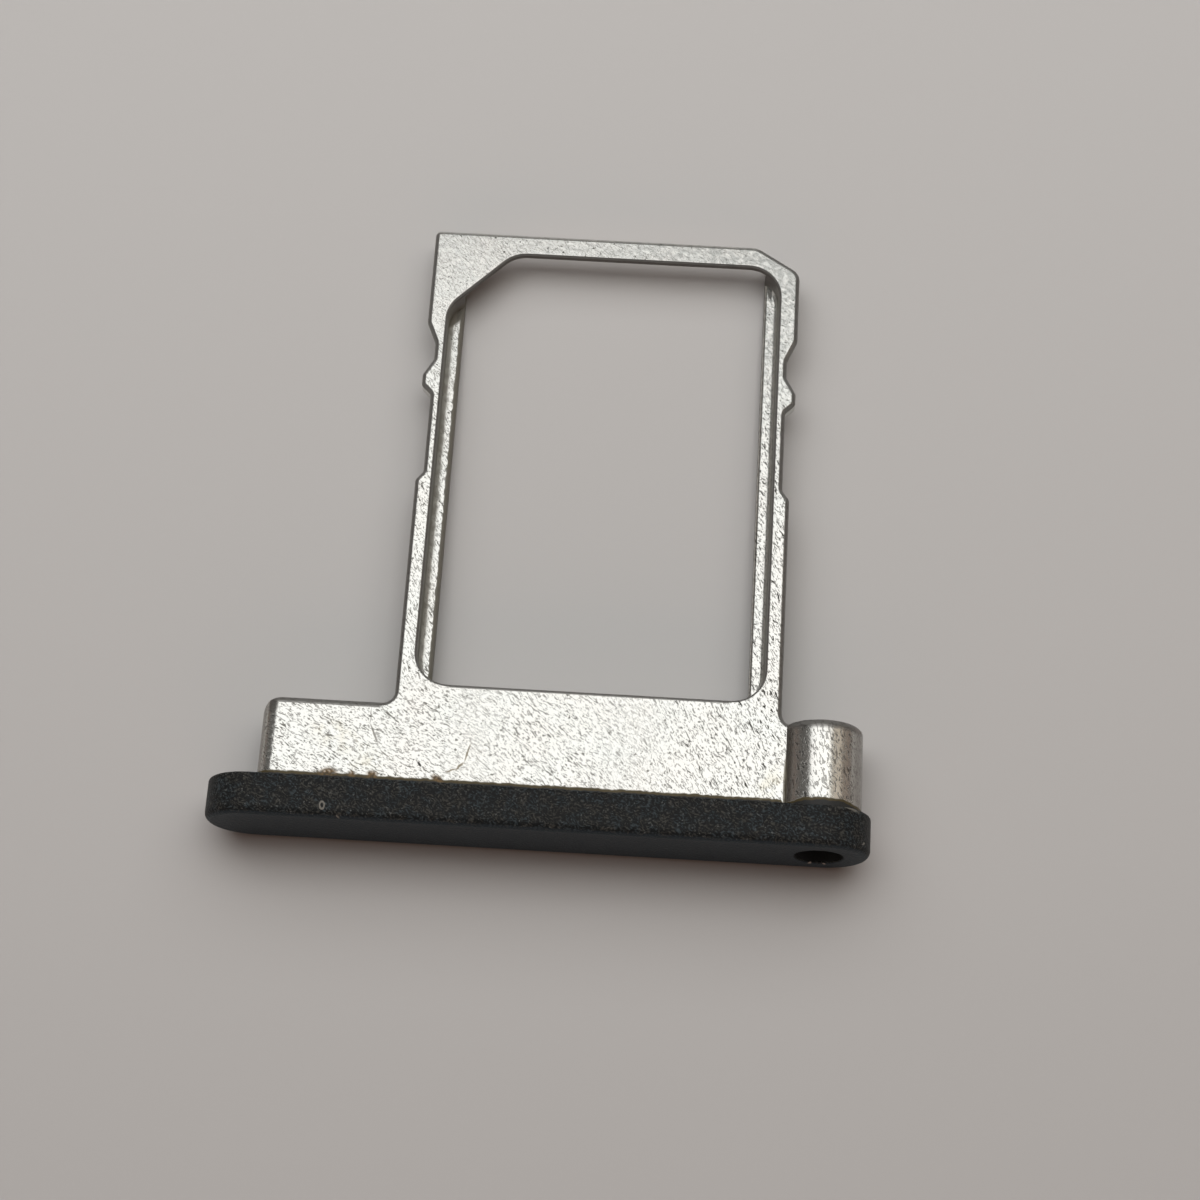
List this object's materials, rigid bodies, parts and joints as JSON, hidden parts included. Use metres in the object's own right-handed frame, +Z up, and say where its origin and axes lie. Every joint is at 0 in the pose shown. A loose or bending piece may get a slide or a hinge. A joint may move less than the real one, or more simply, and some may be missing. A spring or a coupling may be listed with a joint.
{
  "type": "SIM card tray",
  "caption": "Metal SIM card tray: a thin open frame with ledges and a cut corner for the card, behind a long round-ended black face bar with an ejector boss and its pin hole.",
  "frame": {"origin": "under the middle of the tray, at the height of the face bar's lower side", "axes": "+X along the face bar towards the ejector hole, +Y from the face bar towards the far end of the frame, +Z up out of the card pocket"},
  "size_m": [0.0166, 0.0168, 0.0023],
  "materials": {
    "tray_metal": "bright sintered metal with a fine pebbled grain; the face bar is painted satin black"
  },
  "bodies": {
    "root": {"sim_tray": "tray_metal"}
  },
  "joints": []
}
